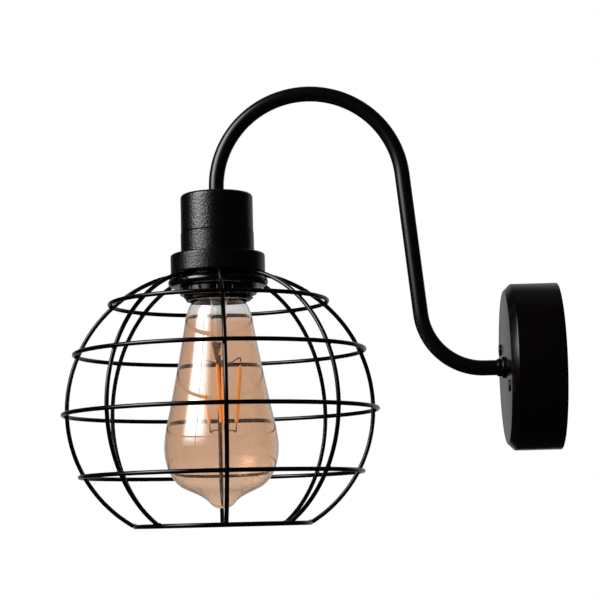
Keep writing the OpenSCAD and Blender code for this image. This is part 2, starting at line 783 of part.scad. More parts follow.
// Coil spring between the plunger's flange and the strap, as one swept tube
module contact_spring() {
    low = plunger_flange_z + plunger_flange_t + spring_wire_d / 2;
    high = floor_z - spring_wire_d / 2;
    per_turn = 12;
    n = spring_turns * per_turn;
    k = 6;
    climb = high - low;
    points = [for (j = [0 : n], i = [0 : k - 1])
        let (a = 360 * j / per_turn,
            b = 360 * i / k,
            r = spring_r + spring_wire_d / 2 * cos(b),
            z = low + climb * j / n + spring_wire_d / 2 * sin(b))
        [r * cos(a), r * sin(a), z]];
    sides = [for (j = [0 : n - 1], i = [0 : k - 1])
        let (m = (i + 1) % k)
        each [[j * k + i, j * k + m, (j + 1) * k + m], [j * k + i, (j + 1) * k + m, (j + 1) * k + i]]];
    foot = [for (i = [k - 1 : -1 : 0]) i];
    head = [for (i = [0 : k - 1]) n * k + i];
    echo(str("Least gap between the spring's turns: ", climb / spring_turns - spring_wire_d));
    color(zinc) at_lamp() polyhedron(points, concat([foot], sides, [head]), convexity = 8);
}

// Foot of a terminal: the one on the contact strap stands on it
function terminal_foot_z(side) = floor_z + (side < 0 ? strap_plate_t : 0);

module holder_terminals() {
    color(brass) at_lamp() for (side = [-1, 1])
        translate([side * terminal_span / 2, 0, terminal_foot_z(side)]) difference() {
            translate([-terminal_w / 2, -terminal_w / 2, 0]) cube([terminal_w, terminal_w, terminal_h]);
            post(lead_r + 0.1, terminal_h - lead_seat, terminal_h + cut);
            translate([0, 0, terminal_screw_z]) rotate([90, 0, 0])
                post(terminal_screw_r + hole_gap, 0, terminal_w);
        }
}

module holder_terminal_screws() {
    from = lead_r + 0.05;
    proud = 0.25;
    color(zinc) at_lamp() for (side = [-1, 1])
        translate([side * terminal_span / 2, 0, terminal_foot_z(side) + terminal_screw_z])
            rotate([90, 0, 0]) slotted(terminal_screw_r, from, terminal_w / 2 + lead_r + proud);
}

// Cage

module cage_cap() {
    r = cage_cap_d / 2;
    e = cage_cap_edge_r;
    t = cage_cap_wall;
    foot_round = 0.9 * t;
    color(black_paint) at_lamp() rotate_extrude($fn = 96) polygon(concat(
        [[hole_r, cage_top_z]],
        arc([r - e, cage_top_z - e], e, 90, 0),
        arc([r - foot_round, lip_z + foot_round], foot_round, 0, -90),
        [[r - t, lip_z]],
        arc([r - e, cage_top_z - e], e - t, 0, 90),
        [[hole_r, cage_top_z - t]]));
}

module cage_collar() {
    color(black_paint) at_lamp()
        ring(cage_cap_d / 2 - cage_cap_wall, hole_r, plate_z, plate_z + plate_t, $fn = 96);
}

// Stretch of wire along an arc in the upright plane through the axis
module wire_arc(c, arc_r, from, to, r = wire_r) {
    translate([c[0], 0, c[1]]) rotate([90, 0, 0]) rotate([0, 0, from])
        rotate_extrude(angle = to - from) translate([arc_r, 0]) circle(r = r, $fn = 32);
}

module cage_rib(number) {
    color(black_paint) at_lamp() rotate([0, 0, rib_phase + (number - 1) * 45 + rib_drift[number - 1]]) {
        // The outer arcs reach a little way into the middle one, which is a hair thicker
        turn = lap / crown_arc_r * 180 / PI;
        wire_arc(crown_c, crown_arc_r, shoulder_angle - turn, 90);
        wire_arc(upper_c, upper_arc_r, 0, shoulder_angle, wire_r + swell);
        wire_arc(lower_c, lower_arc_r, foot_cut - foot_angle, turn);
    }
}

// Hoop's centre, outside a rib whose arc is centred on c, at a height above the widest level
function hoop_point(c, arc_r, rise) =
    let (r = arc_r + hoop_offset) [c[0] + sqrt(r * r - rise * rise), c[1] + rise];

module cage_hoop(number) {
    below = number > len(hoop_rise);
    rise = below ? 0 : hoop_rise[number - 1];
    at = below ? lower_c + lower_arc_r * [cos(foot_angle), -sin(foot_angle)]
        : rise > 0 ? hoop_point(upper_c, upper_arc_r, rise) : hoop_point(lower_c, lower_arc_r, rise);
    color(black_paint) at_lamp() translate([0, 0, at[1]])
        rotate_extrude($fn = 128) translate([at[0], 0]) circle(r = wire_r, $fn = 32);
}

module shade_ring() {
    r = flange_r;
    e = flange_round;
    skirt_r = ring_skirt_d / 2;
    skirt_bevel = 0.5;
    notch_depth = 0.7;
    notch_top = 0.8;
    foot_z = flange_top_z - flange_t;
    color(black_paint) at_lamp() difference() {
        rotate_extrude($fn = 96) polygon(concat(
            [[0, flange_top_z]],
            arc([r - e, flange_top_z - e], e, 90, 0),
            arc([r - e, foot_z + e], e, 0, -90),
            [[skirt_r, foot_z], [skirt_r, ring_foot_z + skirt_bevel],
                [skirt_r - skirt_bevel, ring_foot_z], [0, ring_foot_z]]));
        thread_rod(holder_thread_r - holder_thread_depth / 2 + thread_gap, holder_thread_depth,
            holder_thread_pitch, ring_foot_z - cut, flange_top_z + cut);
        for (i = [0 : notch_count - 1]) rotate([0, 0, i * 360 / notch_count])
            translate([skirt_r + notch_d / 2 - notch_depth, 0, 0])
                post(notch_d / 2, ring_foot_z - cut, foot_z - notch_top, $fn = 24);
    }
}

// Bulb

// Outline of the glass: how far each bend lies outside the neck and below the top of the
// glass, and then inside the widest level and above the tip
neck_l = 5.5;
shoulder_out = 3.8;
shoulder_down = 9.9;
cone_out = 7.65;
cone_down = 21.2;
belly_in = 3.6;
belly_h = 56.2;
widest_h = 33.7;
nose_in = 10.6;
nose_h = 11.5;
drip_r = 6.6;
drip_h = 2.7;
// Each key is [radius, height, heading], from the neck down to the tip
glass_keys = [
    [glass_neck_r, glass_top, -90], [glass_neck_r, glass_top - neck_l, -90],
    [glass_neck_r + shoulder_out, glass_top - shoulder_down, -57],
    [glass_neck_r + cone_out, glass_top - cone_down, -81],
    [bulb_r - belly_in, belly_h, -78.5], [bulb_r, widest_h, -90],
    [bulb_r - nose_in, nose_h, -153], [drip_r, drip_h, -128], [0, 0, -180]];

// Point of a smooth curve between two keys, with its heading
function glass_point(a, b, t) =
    let (p = [a[0], a[1]], q = [b[0], b[1]],
        l = norm(q - p),
        u = l * [cos(a[2]), sin(a[2])],
        v = l * [cos(b[2]), sin(b[2])],
        at = p * (2 * t * t * t - 3 * t * t + 1) + u * (t * t * t - 2 * t * t + t)
            + q * (3 * t * t - 2 * t * t * t) + v * (t * t * t - t * t),
        go = p * (6 * t * t - 6 * t) + u * (3 * t * t - 4 * t + 1)
            + q * (6 * t - 6 * t * t) + v * (3 * t * t - 2 * t))
    [at, go / norm(go)];

glass_steps = 6;
glass_curve = [for (i = [0 : len(glass_keys) - 2], j = [0 : glass_steps - 1])
    glass_point(glass_keys[i], glass_keys[i + 1], j / glass_steps)];
// The inside stands off to the left of the way down, which is towards the axis
glass_outside = concat([for (c = glass_curve) c[0]], [[0, 0]]);
glass_inside = concat([for (c = glass_curve) c[0] + glass_t * [c[1][1], -c[1][0]]], [[0, glass_t]]);

module at_bulb() {
    translate([0, -reach, bulb_tip_z]) children();
}

module bulb_glass() {
    n = len(glass_inside);
    color(amber_glass) at_bulb() rotate_extrude($fn = 96)
        polygon(concat(glass_outside, [for (i = [n - 1 : -1 : 0]) glass_inside[i]]));
}

module bulb_cap_shell() {
    color(zinc) at_bulb() difference() {
        union() {
            translate([0, 0, -bulb_tip_z]) thread_rod(e27_mean_r, e27_depth, e27_pitch,
                bulb_tip_z + cap_foot + cap_rim_h - 0.4, bulb_tip_z + insulator_foot);
            post(e27_d / 2 - 0.15, cap_foot, cap_foot + cap_rim_h);
        }
        post(glass_neck_r, cap_foot - cut, glass_top);
        post(cap_inner_r, cap_foot, bulb_l);
    }
}

module bulb_cap_insulator() {
    foot_r = e27_mean_r - e27_depth / 2 - 0.2;
    color([0.08, 0.06, 0.07]) at_bulb() translate([0, 0, insulator_foot])
        cylinder(r1 = foot_r, r2 = insulator_top_r, h = contact_foot - insulator_foot);
}

module bulb_tip_contact() {
    r = insulator_top_r - 0.4;
    plate = 0.6;
    nub_r = 2.6;
    color(zinc) at_bulb() translate([0, 0, contact_foot]) rotate_extrude()
        polygon(concat([[0, 0], [r, 0]], arc([r - plate, plate], plate, 0, 90),
            [[nub_r, 2 * plate], [nub_r - 0.2, bulb_l - contact_foot], [0, bulb_l - contact_foot]]));
}

module bulb_driver_board() {
    color([0.1, 0.4, 0.2]) at_bulb() translate([0, 0, board_foot]) cylinder(r = cap_inner_r, h = board_t);
}

module bulb_stem() {
    neck = glass_neck_r - glass_t;
    rim_h = glass_top - 1;
    flare_h = glass_top - stem_flare_l;
    cone_h = glass_top - stem_cone_l;
    press_top = stem_foot + press_l;
    color([0.9, 0.93, 0.95, 0.5]) at_bulb() rotate_extrude() polygon([
        [neck, rim_h], [neck, rim_h - 1], [stem_flare_r, flare_h], [stem_r, cone_h],
        [stem_r, press_top + press_taper], [press_r, press_top], [stem_tip_r, stem_foot],
        [0, stem_foot], [0, press_top - 1],
        [inner_bore_r, press_top], [inner_bore_r, glass_top], [inner_tube_r, glass_top],
        [inner_tube_r, press_top + 1], [stem_r - stem_wall, press_top + press_taper],
        [stem_r - stem_wall, cone_h], [stem_flare_r - stem_wall, flare_h],
        [neck - stem_wall, rim_h]]);
}

// Point of light strip number i: t is 0 at its upper end and 1 at its foot
function on_strip(i, t) =
    let (a = filament_phase + i * 360 / filament_count,
        fall = sqrt(pow(filament_l, 2) - pow(filament_top_r - filament_foot_r, 2)),
        r = filament_top_r + (filament_foot_r - filament_top_r) * t)
    [r * cos(a), r * sin(a), filament_top - fall * t];

// Wire between two points, ending at the strips' surfaces where it is drawn in
module support_wire(from, to, in_from, in_to) {
    way = (to - from) / norm(to - from);
    bar(from + in_from * way, to - in_to * way, support_r);
}

module bulb_support_wires() {
    weld_at = 0.03;
    strip_r = filament_d / 2;
    hub = [0, 0, filament_top];
    color(zinc) at_bulb() {
        // The wires leave a small knot below the glass tube
        post(knot_r, filament_top - knot_r, stem_foot);
        for (i = [0 : filament_count - 1]) support_wire(hub, on_strip(i, weld_at), 0, strip_r);
        for (i = [0, 2])
            support_wire(on_strip(i, 1 - weld_at), on_strip(i + 1, 1 - weld_at), strip_r, strip_r);
    }
}

module bulb_filaments() {
    color([0.95, 0.6, 0.2]) at_bulb() for (i = [0 : filament_count - 1])
        bar(on_strip(i, 0), on_strip(i, 1), filament_d / 2);
}

wall_bracket();
bracket_earth_screw();
canopy();
canopy_screws();
terminal_block();
terminal_screws();
block_screw();
earth_tag();
live_lead();
neutral_lead();
earth_lead();
arm_tube();
arm_collar();
arm_lock_washer();
arm_back_nut();
holder_nut();
holder_cap();
holder_skirt();
holder_insert();
screw_shell();
shell_rivet();
contact_strap();
contact_plunger();
contact_spring();
holder_terminals();
holder_terminal_screws();
cage_cap();
cage_collar();
cage_rib(1);  // cage_rib_1
cage_rib(2);  // cage_rib_2
cage_rib(3);  // cage_rib_3
cage_rib(4);  // cage_rib_4
cage_rib(5);  // cage_rib_5
cage_rib(6);  // cage_rib_6
cage_rib(7);  // cage_rib_7
cage_rib(8);  // cage_rib_8
cage_hoop(1);  // cage_hoop_1
cage_hoop(2);  // cage_hoop_2
cage_hoop(3);  // cage_hoop_3
cage_hoop(4);  // cage_hoop_4
cage_hoop(5);  // cage_hoop_5
shade_ring();
bulb_glass();
bulb_cap_shell();
bulb_cap_insulator();
bulb_tip_contact();
bulb_driver_board();
bulb_stem();
bulb_support_wires();
bulb_filaments();
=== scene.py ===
# %% [markdown]
# # Dressing a cage wall light
# The light hangs from a round canopy on the wall: a bent steel tube carries a lamp
# holder, a notched ring clamps a welded wire cage to it, and a filament bulb glows
# inside. Its solids come from a CAD model that is already packed, so nothing here
# is measured again: each cell adds the surface, the light or the fine detail that
# a solid alone lacks. Lengths are in metres and the wall is the plane Y = 0.

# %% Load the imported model
import math
import random
import bmesh
import bpy
from mathutils import Matrix, Vector
from mathutils.geometry import interpolate_bezier


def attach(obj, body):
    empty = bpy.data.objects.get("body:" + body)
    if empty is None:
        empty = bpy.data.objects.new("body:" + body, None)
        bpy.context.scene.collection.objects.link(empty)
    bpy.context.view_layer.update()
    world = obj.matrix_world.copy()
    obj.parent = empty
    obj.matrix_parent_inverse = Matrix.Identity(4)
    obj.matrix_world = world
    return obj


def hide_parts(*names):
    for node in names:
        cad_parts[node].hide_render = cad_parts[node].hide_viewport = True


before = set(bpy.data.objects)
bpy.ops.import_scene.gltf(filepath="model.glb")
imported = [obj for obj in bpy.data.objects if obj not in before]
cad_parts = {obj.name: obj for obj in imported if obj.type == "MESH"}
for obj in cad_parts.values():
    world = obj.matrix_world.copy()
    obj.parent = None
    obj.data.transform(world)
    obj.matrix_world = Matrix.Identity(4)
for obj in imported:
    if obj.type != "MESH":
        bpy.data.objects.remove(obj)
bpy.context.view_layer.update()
scene = bpy.context.scene
mm = 0.001
lamp_y = -190 * mm  # the lamp's upright axis stands this far off the wall

# %% [markdown]
# ## The camera
# The picture was taken from the light's right-hand side and a little below it, level
# with the gap between the wall and the cage, through a long lens. A long lens keeps
# the canopy's rim nearly upright. A camera can be aimed with a Track To constraint,
# but here its three axes are written straight into its matrix, because the picture
# also leans by a degree and a half.

# %% Stand the camera beside the light
def look_along(yaw, pitch, roll):
    """Matrix of a camera that looks towards -X, turned by three small angles."""
    ahead = Vector((-math.cos(pitch) * math.cos(yaw), -math.cos(pitch) * math.sin(yaw),
                    math.sin(pitch)))
    level = ahead.cross(Vector((0, 0, 1))).normalized()
    upright = level.cross(ahead)
    across = math.cos(roll) * level + math.sin(roll) * upright
    up = -math.sin(roll) * level + math.cos(roll) * upright
    return Matrix((across, up, -ahead)).transposed().to_4x4()


camera_place = (1.09522, -0.1221, -0.0872)
camera_turn = (0.0200, 0.1167, -0.0254)  # yaw, pitch and roll in radians

camera = bpy.data.objects.new("camera", bpy.data.cameras.new("camera"))
camera.data.sensor_width = 36
camera.data.lens = 117.3
camera.data.clip_end = 20
camera.matrix_world = Matrix.Translation(camera_place) @ look_along(*camera_turn)
scene.collection.objects.link(camera)
scene.camera = camera
print("camera lens:", camera.data.lens, "mm")

# %% [markdown]
# ## The studio
# A black object shows little of its own colour. What the eye reads is the light
# that it mirrors. One broad soft box on the left draws the bright stripe down every
# tube and down the glass. It hangs from the lamp's own height upwards, so the lower
# wires stay dark. Pale paper behind the light draws the thin grey line along the far
# edges, and the dark room in front leaves the rest black. The floor and the air are
# white for the camera and for rays that pass through glass, while rays that bounce
# off a gloss see the paper, the boxes and a faint floor. A ring of lamps would be
# easier to hang, but it would draw a stripe for each lamp.

# %% Make the colours plain
scene.view_settings.view_transform = "Standard"
print("view:", scene.view_settings.view_transform)

# %% Set out a shader's nodes and sums
def nodes_of(tree_owner):
    """The empty node tree of a material, world or lamp, and a function that links sockets."""
    tree_owner.use_nodes = True
    tree_owner.node_tree.nodes.clear()
    return tree_owner.node_tree.nodes, tree_owner.node_tree.links.new


def give(link, value, socket):
    """Sets a socket to a number, or links it to another node's output."""
    if isinstance(value, (int, float)):
        socket.default_value = value
    else:
        link(value, socket)


def reckon(nodes, link, operation, first, second):
    """The result of one sum on two values, each a number or another node's output."""
    node = nodes.new("ShaderNodeMath")
    node.operation = operation
    give(link, first, node.inputs[0])
    give(link, second, node.inputs[1])
    return node.outputs[0]


# %% Tell the kinds of ray apart and mix by them
def seen_mask(nodes, link, *kinds):
    """A value of 1 for rays of those kinds, and 0 for the others."""
    path = nodes.new("ShaderNodeLightPath")
    total = path.outputs[kinds[0]]
    for kind in kinds[1:]:
        total = reckon(nodes, link, "MAXIMUM", total, path.outputs[kind])
    return total


def white_light(nodes, link, kind, strength):
    """A white Emission or Background of that strength."""
    node = nodes.new("ShaderNode" + kind)
    node.inputs["Color"].default_value = (1, 1, 1, 1)
    give(link, strength, node.inputs["Strength"])
    return node.outputs[0]


def mixed(nodes, link, mask, first, second):
    """The first shader where the mask is 0, and the second where it is 1."""
    node = nodes.new("ShaderNodeMixShader")
    for socket, source in zip(node.inputs, (mask, first, second)):
        link(source, socket)
    return node.outputs[0]


# %% Lay the floor
floor_z = -2.2
floor_reach = 8

floor_shape = bmesh.new()
bmesh.ops.create_grid(floor_shape, x_segments=1, y_segments=1, size=floor_reach)
bmesh.ops.translate(floor_shape, verts=floor_shape.verts, vec=(0, 0, floor_z))
floor_mesh = bpy.data.meshes.new("floor")
floor_shape.to_mesh(floor_mesh)
floor_shape.free()
floor = bpy.data.objects.new("floor", floor_mesh)
scene.collection.objects.link(floor)
print("floor at", floor_z)

# %% Whiten the floor
floor_white = 0.93  # the share that is plain white; the rest is matt and keeps the shadow
floor_mirrored = 0.01  # how bright the floor looks in a gloss

pale_floor = bpy.data.materials.new("pale_floor")
nodes, link = nodes_of(pale_floor)
output = nodes.new("ShaderNodeOutputMaterial")
matt = nodes.new("ShaderNodeBsdfDiffuse")
matt.inputs["Color"].default_value = (0.8, 0.8, 0.8, 1)
unseen = mixed(nodes, link, seen_mask(nodes, link, "Is Glossy Ray"), matt.outputs[0],
               white_light(nodes, link, "Emission", floor_mirrored))
seen = seen_mask(nodes, link, "Is Camera Ray", "Is Transmission Ray")
blend = mixed(nodes, link, reckon(nodes, link, "MULTIPLY", seen, floor_white), unseen,
              white_light(nodes, link, "Emission", 1))
link(blend, output.inputs["Surface"])
floor.data.materials.append(pale_floor)
print("white share of the floor:", floor_white)

# %% Fill the air and hang the paper
def eased(nodes, link, value, start, stop, low=0.0, high=1.0):
    """Goes softly from low to high while the value goes from start to stop."""
    node = nodes.new("ShaderNodeMapRange")
    node.interpolation_type = "SMOOTHSTEP"
    link(value, node.inputs["Value"])
    ends = {"From Min": start, "From Max": stop, "To Min": low, "To Max": high}
    for label, number in ends.items():
        node.inputs[label].default_value = number
    return node.outputs[0]


paper_way = Vector((-0.985, 0.174, 0.05)).normalized()
paper_edge = (0.61, 0.94)  # cosines: the paper fades in between these two angles
paper_glow = 0.31
room_glow = 0.004
room_fill = 0.55  # what matt surfaces get from the whole room

air = bpy.data.worlds.new("air")
scene.world = air
nodes, link = nodes_of(air)
output = nodes.new("ShaderNodeOutputWorld")
toward = nodes.new("ShaderNodeVectorMath")
toward.operation = "DOT_PRODUCT"
toward.inputs[1].default_value = paper_way
link(nodes.new("ShaderNodeTexCoord").outputs["Generated"], toward.inputs[0])
glow = eased(nodes, link, toward.outputs["Value"], *paper_edge, room_glow, paper_glow)
unseen = mixed(nodes, link, seen_mask(nodes, link, "Is Glossy Ray"),
               white_light(nodes, link, "Background", room_fill),
               white_light(nodes, link, "Background", glow))
blend = mixed(nodes, link, seen_mask(nodes, link, "Is Camera Ray", "Is Transmission Ray"),
              unseen, white_light(nodes, link, "Background", 1))
link(blend, output.inputs["Surface"])
print("air:", room_glow, "paper:", paper_glow)

# %% Shade the face of a lamp
def shade_face(light, across, upward):
    """Shades a lamp's face across and upward by (place, share) pairs between 0 and 1."""
    nodes, link = nodes_of(light)
    output = nodes.new("ShaderNodeOutputLight")
    face = nodes.new("ShaderNodeEmission")
    place = nodes.new("ShaderNodeSeparateXYZ")
    link(nodes.new("ShaderNodeNewGeometry").outputs["Parametric"], place.inputs[0])
    both = nodes.new("ShaderNodeMix")
    both.data_type = "RGBA"
    both.blend_type = "MULTIPLY"
    both.inputs["Factor"].default_value = 1
    for axis, stops, socket in (("X", across, "A"), ("Y", upward, "B")):
        ramp = nodes.new("ShaderNodeValToRGB")
        ramp.color_ramp.interpolation = "EASE"
        while len(ramp.color_ramp.elements) < len(stops):
            ramp.color_ramp.elements.new(0.5)
        for element, (where, share) in zip(ramp.color_ramp.elements, stops):
            element.position = where
            element.color = (share, share, share, 1)
        link(place.outputs[axis], ramp.inputs[0])
        link(ramp.outputs["Color"], both.inputs[socket])
    link(both.outputs["Result"], face.inputs["Color"])
    link(face.outputs[0], output.inputs["Surface"])


# %% Hang the soft boxes
lamp_middle = Vector((0, lamp_y, 0))


def soft_box(name, toward, distance, size, glow, lift=0.0):
    """A flat lamp that faces the lamp holder, with a face of that glow (1 is white)."""
    light = bpy.data.lights.new(name, "AREA")
    light.shape = "RECTANGLE"
    light.size, light.size_y = size
    light.energy = glow * math.pi * size[0] * size[1]
    way = Vector(toward).normalized()
    place = lamp_middle + way * distance + Vector((0, 0, lift))
    obj = bpy.data.objects.new(name, light)
    obj.matrix_world = Matrix.Translation(place) @ way.to_track_quat("Z", "Y").to_matrix().to_4x4()
    scene.collection.objects.link(obj)
    return light


key_box = soft_box("key_box", (0.469, -0.883, -0.05), 1.2, (2.3, 1.9), 10.5, lift=0.95)
shade_face(
    key_box,
    # from the far side of the box towards the camera
    across=[(0, 0), (0.18, 0.005), (0.27, 0.02), (0.325, 0.15), (0.37, 0.55), (0.43, 0.89),
            (0.51, 1), (0.59, 0.88), (0.66, 0.66), (0.73, 0.42), (0.80, 0.2), (0.88, 0.06),
            (0.97, 0)],
    # from its lower edge, just under the lamp's height
    upward=[(0, 0), (0.03, 0), (0.08, 0.1), (0.14, 0.3), (0.16, 0.45), (0.183, 0.62),
            (0.22, 0.8), (0.28, 1), (0.5, 1), (0.75, 0.8), (1, 0.4)])
soft_box("top_box", (-0.5, 0.1, 1), 1.4, (1.2, 1.2), 0.05)

# %% [markdown]
# ## Finishes
# Each finish is a small tree of nodes. What several finishes share, which is a skin
# with a fine grain, a cloudy gloss and small flecks, is a node group, so that one
# change reaches them all. The patterns read Object coordinates: every piece has its
# origin at the model's own, so a pattern never slides from piece to piece.

# %% Set out a shared group
def new_group(name, inputs, outputs):
    """An empty node group with named number inputs, and outputs of the kinds given."""
    group = bpy.data.node_groups.new(name, "ShaderNodeTree")
    for label, value in inputs.items():
        socket = group.interface.new_socket(label, in_out="INPUT", socket_type="NodeSocketFloat")
        socket.default_value = value
    for label, kind in outputs.items():
        group.interface.new_socket(label, in_out="OUTPUT", socket_type="NodeSocket" + kind)
    return group, group.nodes.new("NodeGroupInput"), group.nodes.new("NodeGroupOutput")


# %% Draw clouds and fit them to a range
def noise(nodes, link, where, scale, detail):
    """Cloudy noise on the piece's own coordinates."""
    node = nodes.new("ShaderNodeTexNoise")
    give(link, scale, node.inputs["Scale"])
    node.inputs["Detail"].default_value = detail
    node.inputs["Roughness"].default_value = 0.5
    link(where, node.inputs["Vector"])
    return node.outputs[0]


def spread(nodes, link, value, low, high):
    """Stretches a 0 to 1 value to a range, which may come from sockets."""
    node = nodes.new("ShaderNodeMapRange")
    link(value, node.inputs["Value"])
    give(link, low, node.inputs["To Min"])
    give(link, high, node.inputs["To Max"])
    return node.outputs[0]


# %% Build the skin that paint, plating and plastics share
cloud_scale = 60
speck_scale, speck_size = 900, 0.12

paint_skin, given, result = new_group(
    "paint_skin",
    {"Grain": 1800, "Grain Height": 0.00002, "Smooth": 0.35, "Rough": 0.5},
    {"Roughness": "Float", "Height": "Float", "Speck": "Float"})
nodes, link = paint_skin.nodes, paint_skin.links.new
where = nodes.new("ShaderNodeTexCoord").outputs["Object"]
cloud = noise(nodes, link, where, cloud_scale, 4)
cloudy = spread(nodes, link, cloud, given.outputs["Smooth"], given.outputs["Rough"])
link(cloudy, result.inputs["Roughness"])
grain = noise(nodes, link, where, given.outputs["Grain"], 2)
height = reckon(nodes, link, "MULTIPLY", grain, given.outputs["Grain Height"])
link(height, result.inputs["Height"])
speck = nodes.new("ShaderNodeTexVoronoi")
speck.inputs["Scale"].default_value = speck_scale
link(where, speck.inputs["Vector"])
fleck = reckon(nodes, link, "LESS_THAN", speck.outputs["Distance"], speck_size)
link(fleck, result.inputs["Speck"])
print("group:", paint_skin.name, [s.name for s in paint_skin.interface.items_tree])

# %% [markdown]
# A finish starts from one shader, whose plain numbers are set on its own sockets.
# Only what changes over the surface comes through nodes.

# %% Mix a plain finish
def finish(name, colour, roughness=0.5, metallic=0.0, **sockets):
    """A material with one Principled shader. Returns the material, its shader and its nodes."""
    material = bpy.data.materials.new(name)
    nodes, link = nodes_of(material)
    output = nodes.new("ShaderNodeOutputMaterial")
    shader = nodes.new("ShaderNodeBsdfPrincipled")
    shader.inputs["Base Color"].default_value = (*colour, 1)
    shader.inputs["Roughness"].default_value = roughness
    shader.inputs["Metallic"].default_value = metallic
    for label, value in sockets.items():
        shader.inputs[label.replace("_", " ").title().replace("Ior", "IOR")].default_value = value
    link(shader.outputs[0], output.inputs["Surface"])
    return material, shader, nodes, link


# %% Give a finish the shared skin
def bump(nodes, link, height, shader):
    """Turns a height in metres to a normal."""
    node = nodes.new("ShaderNodeBump")
    node.inputs["Distance"].default_value = 1
    node.inputs["Strength"].default_value = 1
    link(height, node.inputs["Height"])
    link(node.outputs[0], shader.inputs["Normal"])


def two_tones(nodes, link, mask, first, second, socket):
    """Gives a colour socket the first tone where the mask is 0, and the second where it is 1."""
    mix = nodes.new("ShaderNodeMix")
    mix.data_type = "RGBA"
    link(mask, mix.inputs["Factor"])
    mix.inputs["A"].default_value = (*first, 1)
    mix.inputs["B"].default_value = (*second, 1)
    link(mix.outputs["Result"], socket)
    return mix


def skinned(name, colour, fleck, smooth, rough, grain, grain_height, **sockets):
    """A finish with the shared skin: fine grain, a cloudy gloss and small flecks."""
    material, shader, nodes, link = finish(name, colour, **sockets)
    skin = nodes.new("ShaderNodeGroup")
    skin.node_tree = paint_skin
    given = {"Grain": grain, "Grain Height": grain_height, "Smooth": smooth, "Rough": rough}
    for label, value in given.items():
        skin.inputs[label].default_value = value
    link(skin.outputs["Roughness"], shader.inputs["Roughness"])
    bump(nodes, link, skin.outputs["Height"], shader)
    two_tones(nodes, link, skin.outputs["Speck"], colour, fleck, shader.inputs["Base Color"])
    return material


# %% [markdown]
# The tube, canopy, holder and cage are steel under black powder paint. Baked powder
# keeps a fine orange-peel, coarse on the holder and nearly smooth on the wires, and
# it catches a little dust. A plain glossy black would do from afar, but the broken
# edge of each highlight is what tells paint from plastic.

# %% Powder-coat the steel
def painted(name, colour, fleck, smooth, rough, grain, grain_height, gloss=0.5):
    """Black powder paint, whose gloss says how strongly it mirrors."""
    return skinned(name, colour, fleck, smooth, rough, grain, grain_height,
                   specular_ior_level=gloss)


black = (0.001, 0.001, 0.001)
soot, dust, lint = ((tone, tone, tone) for tone in (0.002, 0.003, 0.008))
black_canopy = painted("black_canopy", (0.0015, 0.001, 0.0008), (0.003, 0.0025, 0.002),
                       0.17, 0.23, 1500, 0.00003, 0.35)
black_tube = painted("black_tube", black, dust, 0.22, 0.28, 1500, 0.00003)
black_wire = painted("black_wire", (0.0008, 0.0008, 0.0008), soot, 0.11, 0.17, 900, 0.00001, 0.45)
black_holder = painted("black_holder", black, lint, 0.18, 0.26, 900, 0.00022, 0.57)
black_collar = painted("black_collar", black, lint, 0.19, 0.28, 900, 0.00018)
black_ring = painted("black_ring", black, dust, 0.10, 0.15, 900, 0.00001, 0.7)
print("paints:", black_canopy.name, black_tube.name, black_wire.name, black_holder.name)

# %% [markdown]
# Screws, nuts, springs and contacts are plated steel or bare brass. All of them are
# metals with a colour of their own, a little duller in places, so one recipe does
# them all, and only the colour and the polish change.

# %% Plate the small steel and brass parts
def dimmed(colour, share):
    """A share of a colour."""
    return tuple(share * c for c in colour)


def plated(name, colour, roughness):
    """Bare or plated metal, with a gloss that varies a little round its roughness."""
    return skinned(name, colour, dimmed(colour, 0.7), roughness - 0.1, roughness + 0.1,
                   2500, 0.000005, metallic=1.0)


nickel = (0.74, 0.75, 0.76)
zinc_plate = plated("zinc_plate", (0.72, 0.73, 0.75), 0.32)
brass_part = plated("brass_part", (0.78, 0.58, 0.27), 0.28)
nickel_plate = plated("nickel_plate", nickel, 0.22)
drawn_wire = plated("drawn_wire", (0.16, 0.11, 0.08), 0.42)
print("plated:", zinc_plate.name, brass_part.name, nickel_plate.name)

# %% [markdown]
# The connector is nylon, the holder's core is glazed ceramic, and the leads wear
# soft sleeves. Their grain is too fine to see, but the skin's cloudy gloss keeps a
# large highlight from looking printed on.

# %% Mould the plastics and glaze the ceramic
def moulded(name, colour, roughness):
    """Plastic or glaze, with a gloss that varies a little round its roughness."""
    return skinned(name, colour, dimmed(colour, 0.85), roughness - 0.06, roughness + 0.06,
                   1600, 0.00001)


white_nylon = moulded("white_nylon", (0.82, 0.81, 0.77), 0.4)
glazed_ceramic = moulded("glazed_ceramic", (0.85, 0.83, 0.78), 0.18)
brown_sleeve = moulded("brown_sleeve", (0.20, 0.08, 0.035), 0.35)
blue_sleeve = moulded("blue_sleeve", (0.03, 0.12, 0.48), 0.35)
dark_glaze = moulded("dark_glaze", (0.02, 0.015, 0.02), 0.15)
green_board = moulded("green_board", (0.02, 0.13, 0.06), 0.35)
print("moulded:", white_nylon.name, glazed_ceramic.name)

# %% [markdown]
# An earth lead is green with a yellow stripe. On such a short lead the stripe can
# follow the way that the surface faces, which needs no unwrapping.

# %% Stripe the earth lead
green_sleeve, shader, nodes, link = finish("green_sleeve", (0.13, 0.42, 0.07), 0.35)
facing = nodes.new("ShaderNodeSeparateXYZ")
link(nodes.new("ShaderNodeTexCoord").outputs["Normal"], facing.inputs[0])
stripe = reckon(nodes, link, "GREATER_THAN", facing.outputs["X"], 0.3)
two_tones(nodes, link, stripe, (0.06, 0.33, 0.05), (0.80, 0.66, 0.05),
          shader.inputs["Base Color"])
print("striped:", green_sleeve.name)

# %% [markdown]
# The bulb's glass is clear at its neck and lacquered amber below it. Its walls are
# real solids with a thickness, so the shader only needs a tint: light picks it up
# each time that it goes through a wall.

